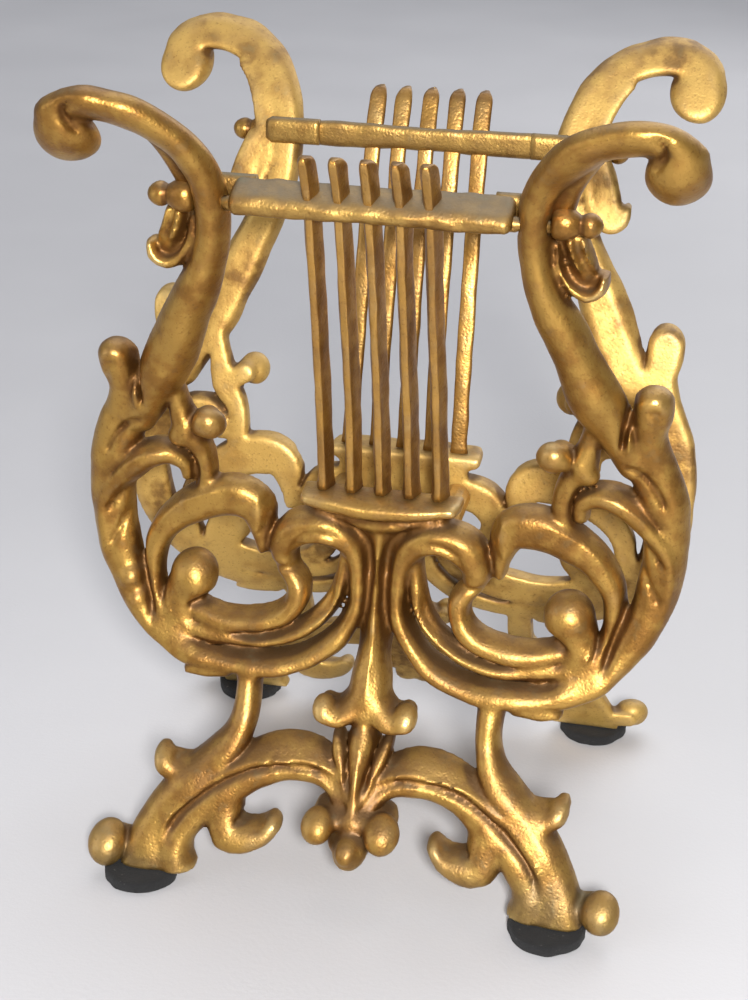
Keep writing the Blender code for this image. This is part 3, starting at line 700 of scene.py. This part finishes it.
def lyreString(side, number):
    root, top, tip = strings["rootHeight"], strings["topHeight"], strings["tip"]
    start, end = strings["setIn"], strings["setIn"] + strings["depth"]
    outline, heart = stringSection(start, end), (0, (start + end) / 2)
    dome = np.sin(np.linspace(0.2, 1, strings["tipSteps"]) * math.pi / 2)
    heights = np.concatenate([np.linspace(root, top - tip, strings["steps"]), top - tip * (1 - dome)])
    seed = number + (10 if side == "rear" else 0)
    wave = grownNoise((len(heights), len(outline)), 4, 40 + seed) * strings["waviness"]
    sway = grownNoise((len(heights),), 14, 70 + number) * strings["sway"]
    rings, paintedLight = [], []
    for z, rough, aside in zip(heights, wave, sway):
        t = (z - root) / (top - root)
        spacing = strings["rootSpacing"] + (strings["topSpacing"] - strings["rootSpacing"]) * t
        centre = (number - (strings["count"] + 1) / 2) * spacing + aside
        narrowing = max(0.0, (z - top + tip) / tip) ** 3
        flare = strings["footFlare"] * max(0.0, 1 - (z - root) / strings["footHeight"])
        size = ((1 - narrowing * 0.45) * (1 + flare), 1 - narrowing * 0.3)
        ring = roughened((outline - heart) * size + heart, heart, rough)
        if z > yoke["height"] + strings["headAboveYoke"]:
            ring[:, 0] *= strings["headWidth"]
        rings.append(placed(centre + ring[:, 0], z, ring[:, 1]))
        # Painted light on the string: shade painted on its sides, and a highlight painted along the back and
        # front edges.
        paintedLight += list(np.interp(ring[:, 1], [start, start + 0.7, end - 1.0, end - 0.3],
                                [-0.3, 0.32, 0.22, -0.25]))
    points, faces = loft(rings)
    return finishPiece(f"{side}String{number}", onSide(points, side), faces, f"{side}_string_{number}",
                       paintedLight)


lyreStrings = [lyreString(side, number)
               for side in ("front", "rear") for number in range(1, strings["count"] + 1)]
print("strings built")

corners = [(side, hand) for side in ("front", "rear") for hand in ("left", "right")]


def cornerSeed(side, hand):
    return 2 * (side == "rear") + (hand == "left")


finial = {
    # Distance along from the arm, and radius.
    "profile": [(-1.4, 0.4), (-1.4, 2.3), (-1.1, 2.8), (-0.4, 3.2), (0.7, 3.35), (1.8, 3.2), (2.7, 2.8),
                (3.4, 2.3), (3.8, 2.0), (4.1, 1.95), (4.5, 2.1), (5.1, 2.35), (5.8, 2.4), (6.5, 2.2),
                (7.2, 1.75), (7.7, 1.2), (8.0, 0.6), (8.1, 0.12)],
    # The neck between barrel and bead is painted darker, as painted shade in the crease.
    "neckFrom": 3, "neckTo": 5, "neckRadius": 2.2, "neckShade": 0.8,
    "segments": 32, "waviness": 0.06, "lift": 0.8,
}


def endBead(side, hand):
    low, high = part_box(f"{side}_{hand}_finial")
    sign = 1 if low.x + high.x > 0 else -1
    armFace = min(abs(low.x), abs(high.x))
    centre = (low + high) / 2 + Vector((0, 0, finial["lift"] * mm))
    wave = grownNoise((len(finial["profile"]), finial["segments"]), 4, 20 + cornerSeed(side, hand))
    turn = fullTurn(finial["segments"])
    rings, paintedLight = [], []
    for (along, radius), rough in zip(finial["profile"], wave * finial["waviness"]):
        wide = (radius + rough * min(1, radius)) * mm
        rings.append(pointsFrom(sign * (armFace + along * mm), centre.y + wide * np.cos(turn),
                                centre.z + wide * np.sin(turn)))
        # Painted shade on the narrow neck.
        onNeck = radius < finial["neckRadius"] and finial["neckFrom"] < along < finial["neckTo"]
        paintedLight += [finial["neckShade"] if onNeck else 0.0] * len(turn)
    points, faces = loft(rings)
    return finishPiece(f"{side}{hand.capitalize()}Finial", points, faces, f"{side}_{hand}_finial",
                       paintedLight)


beads = [endBead(*corner) for corner in corners]

feltPad = {
    "segments": 72, "thickness": 2.7, "softEdge": 0.5,
    "inset": 0.15, "raggedness": 0.16, "topUnevenness": 0.07,
}


def padUnderFoot(side, hand):
    low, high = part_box(f"{side}_{hand}_felt_pad")
    centre = (low + high) / 2
    radius = (high.x - low.x) / 2 - feltPad["inset"] * mm
    seed = 30 + cornerSeed(side, hand)
    soft, top = feltPad["softEdge"], feltPad["thickness"]
    # Share of the radius, and height: the underside, the soft edge, then the top.
    profile = [(0.02, 0.0), (0.5, 0.0), (0.95, 0.0), (0.988, soft * 0.45), (1.0, soft), (1.0, top - soft),
               (0.986, top - soft * 0.4)] + [(share, top) for share in (0.95, 0.8, 0.6, 0.4, 0.2, 0.02)]
    turn = fullTurn(feltPad["segments"])
    ragged = radius + grownNoise((len(turn),), 4, seed) * feltPad["raggedness"] * mm
    lift = grownNoise((len(profile) + 1, len(turn)), 5, seed + 4) * feltPad["topUnevenness"]
    rings = []
    for (share, z), uneven in zip(profile, lift):
        height = z + (uneven if z == top else 0)
        rings.append(pointsFrom(centre.x + share * ragged * np.cos(turn),
                                centre.y + share * ragged * np.sin(turn), low.z + height * mm))
    points, faces = loft(rings)
    return finishPiece(f"{side}{hand.capitalize()}Pad", points, faces, f"{side}_{hand}_felt_pad")


pads = [padUnderFoot(*corner) for corner in corners]
print("finials and felt pads built")


class Wire:
    # One socket of a shader; arithmetic on it adds the nodes.
    def __init__(self, tree, socket=None):
        self.tree, self.socket = tree, socket

    def node(self, kind, settings=None, sockets=None, output=0):
        made = self.tree.nodes.new(kind)
        for name, value in (settings or {}).items():
            setattr(made, name, value)
        for name, value in (sockets or {}).items():
            if isinstance(value, Wire):
                self.tree.links.new(value.socket, made.inputs[name])
            else:
                made.inputs[name].default_value = value
        return Wire(self.tree, made.outputs[output])

    def math(self, operation, first, second):
        return self.node("ShaderNodeMath", {"operation": operation}, {0: first, 1: second})

    def __add__(self, other):
        return self.math("ADD", self, other)

    def __sub__(self, other):
        return self.math("SUBTRACT", self, other)

    def __rsub__(self, other):
        return self.math("SUBTRACT", other, self)

    def __mul__(self, other):
        return self.math("MULTIPLY", self, other)

    def __neg__(self):
        return self * -1

    __radd__ = __add__
    __rmul__ = __mul__

    def clipped(self):
        return self.node("ShaderNodeClamp", None, {"Value": self})

    def step(self, low, high):
        # Nought below low, one above high, and smooth between.
        return self.node("ShaderNodeMapRange", {"interpolation_type": "SMOOTHSTEP"},
                         {"Value": self, "From Min": low, "From Max": high})

    def blend(self, first, second):
        # Colours, the first where this is nought and the second where it is one.
        sockets = {0: self, 6: first, 7: second}
        return self.node("ShaderNodeMix", {"data_type": "RGBA"}, sockets, 2)

    def noise(self, scale, detail=3.0, rough=0.55):
        return self.node("ShaderNodeTexNoise", None,
                         {"Vector": self, "Scale": scale, "Detail": detail, "Roughness": rough})

    def cells(self, scale):
        return self.node("ShaderNodeTexVoronoi", None, {"Vector": self, "Scale": scale})

    def upright(self):
        return self.node("ShaderNodeSeparateXYZ", None, {0: self}, 2)

    def bump(self, strength, distance):
        return self.node("ShaderNodeBump", None, {"Strength": strength, "Distance": distance, "Height": self})


def newMaterial(name):
    # The material, its shader and the place on the object.
    material = bpy.data.materials.new(name)
    material.use_nodes = True
    tree = material.node_tree
    return material, tree.nodes["Principled BSDF"], Wire(tree).node("ShaderNodeTexCoord", output=3)


def feed(shader, name, wire):
    wire.tree.links.new(wire.socket, shader.inputs[name])


def rgb(red, green, blue):
    return (red, green, blue, 1.0)


# Gilt: the dark brown in recesses is painted shade mixed with grime, and the pale on ridges a painted
# highlight mixed with rubbed wear.
giltLook = {
    "main": rgb(0.37, 0.212, 0.047), "warm": rgb(0.26, 0.125, 0.024), "pale": rgb(0.82, 0.59, 0.24),
    "deep": rgb(0.120, 0.050, 0.010), "dust": rgb(0.13, 0.10, 0.06), "green": rgb(0.085, 0.12, 0.07),
    "grime": 1.0, "dusting": 0.4, "verdigris": 0.35, "rubAndHighlight": 0.9, "patches": 0.3,
    "roughness": 0.42, "metallic": 0.85, "coat": 0.08, "coatRoughness": 0.3,
    "grainDepth": 0.0002, "grainStrength": 0.55,
    "cloudScale": 55, "blotchScale": 240, "hammerScale": 420, "pitScale": 1150, "grainScale": 1500,
    "stainFrom": 0.006, "stainTo": 0.020,  # metres above the floor
}


def giltFinish(name, **changes):
    look = {**giltLook, **changes}
    material, shader, place = newMaterial(name)
    shadeAndWear = place.node("ShaderNodeAttribute", {"attribute_name": "shadeAndWear"}, output=2)
    facing = place.node("ShaderNodeNewGeometry", output=1).upright()
    clouds = place.noise(look["cloudScale"], 3)
    blotch = place.noise(look["blotchScale"], 4)
    grain = place.noise(look["grainScale"], 3)
    hammered = place.noise(look["hammerScale"], 2)
    pits = place.cells(look["pitScale"])

    # Painted shade with grime where the value is high, painted highlight with rubbed wear where it is low.
    recessShadeAndGrime = (shadeAndWear + (blotch - 0.5) * 0.55 + (clouds - 0.5) * 0.3).step(0.10, 0.75) * look["grime"]
    rubbedAndLit = (-shadeAndWear + (blotch - 0.5) * 0.5).step(0.12, 0.70) * look["rubAndHighlight"]
    mottle = (clouds * 0.45 + blotch * 0.55).step(0.41, 0.59)
    speck = grain.step(0.57, 0.72) * (shadeAndWear + 1.1).clipped() * 0.45
    patch = clouds.step(0.50, 0.64) * blotch.step(0.38, 0.62) * look["patches"]
    dust = (facing.step(0.25, 0.95) * (blotch * 0.8 + 0.45) * look["dusting"]).clipped()
    low = 1 - place.upright().step(look["stainFrom"], look["stainTo"])
    stain = (blotch.step(0.60, 0.70) * 0.4 + low * clouds.step(0.42, 0.62) * 0.9) * look["verdigris"]

    colour = mottle.blend(look["main"], look["warm"])
    # The pale mix is painted highlight with rubbed wear, the deep mix painted shade with grime; specks and
    # patches are the metal's own dark marks.
    colour = (rubbedAndLit * 0.75).blend(colour, look["pale"])
    colour = (recessShadeAndGrime * 0.95).clipped().blend(colour, look["deep"])
    colour = speck.blend(colour, look["deep"])
    colour = patch.blend(colour, look["deep"])
    colour = dust.blend(colour, look["dust"])
    colour = stain.clipped().blend(colour, look["green"])
    feed(shader, "Base Color", colour)
    feed(shader, "Metallic", (look["metallic"] - dust * 0.5 - stain * 0.4).clipped())
    feed(shader, "Roughness", (look["roughness"] + dust * 0.22 + recessShadeAndGrime * 0.08 - rubbedAndLit * 0.08
                               + (grain - 0.5) * 0.16).clipped())
    relief = grain * 0.6 + hammered * 0.45 + pits.step(0.05, 0.5) * 0.25 + blotch * 0.5
    feed(shader, "Normal", relief.bump(look["grainStrength"], look["grainDepth"]))
    shader.inputs["Coat Weight"].default_value = look["coat"]
    shader.inputs["Coat Roughness"].default_value = look["coatRoughness"]
    return material


feltLook = {
    "dark": rgb(0.002, 0.002, 0.003), "worn": rgb(0.007, 0.007, 0.008), "lint": rgb(0.22, 0.21, 0.19),
    "sheen": 0.03, "sheenRoughness": 0.6, "bumpStrength": 0.8, "bumpDepth": 0.0004,
    "fibreScale": 2600, "lintScale": 1700, "tuftScale": 600,
}


def feltFinish(name):
    material, shader, place = newMaterial(name)
    fibre = place.noise(feltLook["fibreScale"], 5, 0.7)
    tufts = place.noise(feltLook["tuftScale"])
    lint = place.noise(feltLook["lintScale"], 2).step(0.66, 0.76) * tufts.step(0.45, 0.6)
    colour = tufts.blend(feltLook["dark"], feltLook["worn"])
    feed(shader, "Base Color", (lint * 0.6).blend(colour, feltLook["lint"]))
    feed(shader, "Roughness", (fibre * 0.15 + 0.84).clipped())
    feed(shader, "Normal", (fibre + tufts * 0.6).bump(feltLook["bumpStrength"], feltLook["bumpDepth"]))
    shader.inputs["Sheen Weight"].default_value = feltLook["sheen"]
    shader.inputs["Sheen Roughness"].default_value = feltLook["sheenRoughness"]
    return material


floorLook = {
    "pale": rgb(0.49, 0.49, 0.515), "cool": rgb(0.43, 0.43, 0.455),
    "cloudScale": 9, "fineScale": 900, "bumpStrength": 0.15, "bumpDepth": 0.0004,
    "reach": 6.0, "cells": 8,  # metres from the middle to each side, and squares along it
}


def floorFinish(name):
    material, shader, place = newMaterial(name)
    clouds = place.noise(floorLook["cloudScale"])
    fine = place.noise(floorLook["fineScale"])
    feed(shader, "Base Color", clouds.blend(floorLook["cool"], floorLook["pale"]))
    feed(shader, "Roughness", (clouds * 0.15 + 0.45).clipped())
    feed(shader, "Normal", (fine + clouds).bump(floorLook["bumpStrength"], floorLook["bumpDepth"]))
    return material


castGilt = giltFinish("castGilt")
# The rear casting is given brighter, yellower gilt as painted light, for its flat back that faces the lamp;
# its heavier patches and its rougher, less metallic finish are its own.
rearLitGilt = giltFinish("rearLitGilt", main=rgb(0.54, 0.34, 0.090), warm=rgb(0.40, 0.225, 0.052), grime=0.95,
                      roughness=0.52, metallic=0.68, patches=0.75, grainStrength=0.45)
yokeGilt = giltFinish("yokeGilt", main=rgb(0.37, 0.225, 0.060), warm=rgb(0.27, 0.15, 0.038), dusting=1.0,
                      grainStrength=0.6)
stringGilt = giltFinish("stringGilt", main=rgb(0.38, 0.205, 0.046), warm=rgb(0.29, 0.14, 0.03),
                        verdigris=0.1, grainStrength=0.6)
beadGilt = giltFinish("beadGilt", roughness=0.38)
postBrass = giltFinish("postBrass", main=rgb(0.50, 0.31, 0.09), warm=rgb(0.42, 0.24, 0.06), grime=0.5)
blackFelt = feltFinish("blackFelt")

finishes = ((castings[:1], castGilt), (castings[1:], rearLitGilt), (yokes, yokeGilt),
            (lyreStrings, stringGilt), (beads, beadGilt), (pads, blackFelt))
for pieces, finish in finishes:
    for piece in pieces:
        piece.data.materials.append(finish)
for hand in ("left", "right"):
    for slot in bpy.data.objects[f"{hand}_waist_post"].material_slots:
        slot.material = postBrass
print("finishes made")


def floorMesh():
    n = floorLook["cells"] + 1
    steps = np.linspace(-1, 1, n) * floorLook["reach"]
    points = np.array([(x, y, 0.0) for y in steps for x in steps])
    starts = [row * n + k for row in range(n - 1) for k in range(n - 1)]
    return meshPiece("floor", points, [(k, k + 1, k + n + 1, k + n) for k in starts])


ground = floorMesh()
ground.data.materials.append(floorFinish("paleFloor"))

room = {"colour": rgb(0.80, 0.82, 0.88), "strength": 0.27}

world = bpy.data.worlds.new("paleRoom")
world.use_nodes = True
world.node_tree.nodes["Background"].inputs["Color"].default_value = room["colour"]
world.node_tree.nodes["Background"].inputs["Strength"].default_value = room["strength"]
bpy.context.scene.world = world

lamps = {
    "key": {"at": (0.135, -0.50, 0.33), "size": 0.09, "power": 6.0, "colour": (1.0, 0.98, 0.94)},
    "fill": {"at": (-0.75, -0.45, 0.35), "size": 0.7, "power": 2.2, "colour": (0.95, 0.97, 1.0)},
    "back": {"at": (0.35, 0.85, 0.55), "size": 0.8, "power": 3.5, "colour": (1.0, 0.99, 0.97)},
    "high": {"at": (-0.2, 1.3, 1.9), "size": 2.4, "power": 30.0, "colour": (1.0, 1.0, 1.0)},
}

middle = Vector((0, 0, (castLow.z + castHigh.z) / 2))
for name, spec in lamps.items():
    light = bpy.data.lights.new(name + "Light", "AREA")
    light.shape = "DISK"
    light.size, light.energy, light.color = spec["size"], spec["power"], spec["colour"]
    lamp = bpy.data.objects.new(name + "Light", light)
    lamp.location = spec["at"]
    target = Vector(spec["at"][:2] + (0,)) if name == "high" else middle  # the high one shines straight down
    lamp.rotation_euler = (target - lamp.location).to_track_quat("-Z", "Y").to_euler()
    bpy.context.scene.collection.objects.link(lamp)

view = {"at": (0.067833, -0.344961, 0.239251), "turn": 11.82, "down": 24.64, "tilt": 1.09, "lens": 62.99}

camera = bpy.data.cameras.new("camera")
camera.lens, camera.clip_start = view["lens"], 0.01
turn, down, tilt = (math.radians(view[key]) for key in ("turn", "down", "tilt"))
forward = Vector((-math.sin(turn) * math.cos(down), math.cos(turn) * math.cos(down), -math.sin(down)))
right = Vector((math.cos(turn), math.sin(turn), 0))
above = right.cross(forward)
axes = (right * math.cos(tilt) + above * math.sin(tilt),
        above * math.cos(tilt) - right * math.sin(tilt), -forward)
eye = bpy.data.objects.new("camera", camera)
eye.matrix_world = Matrix.Translation(view["at"]) @ Matrix(axes).transposed().to_4x4()
bpy.context.scene.collection.objects.link(eye)
bpy.context.scene.camera = eye
bpy.context.scene.view_settings.view_transform = "Standard"
print("floor, light and camera ready")
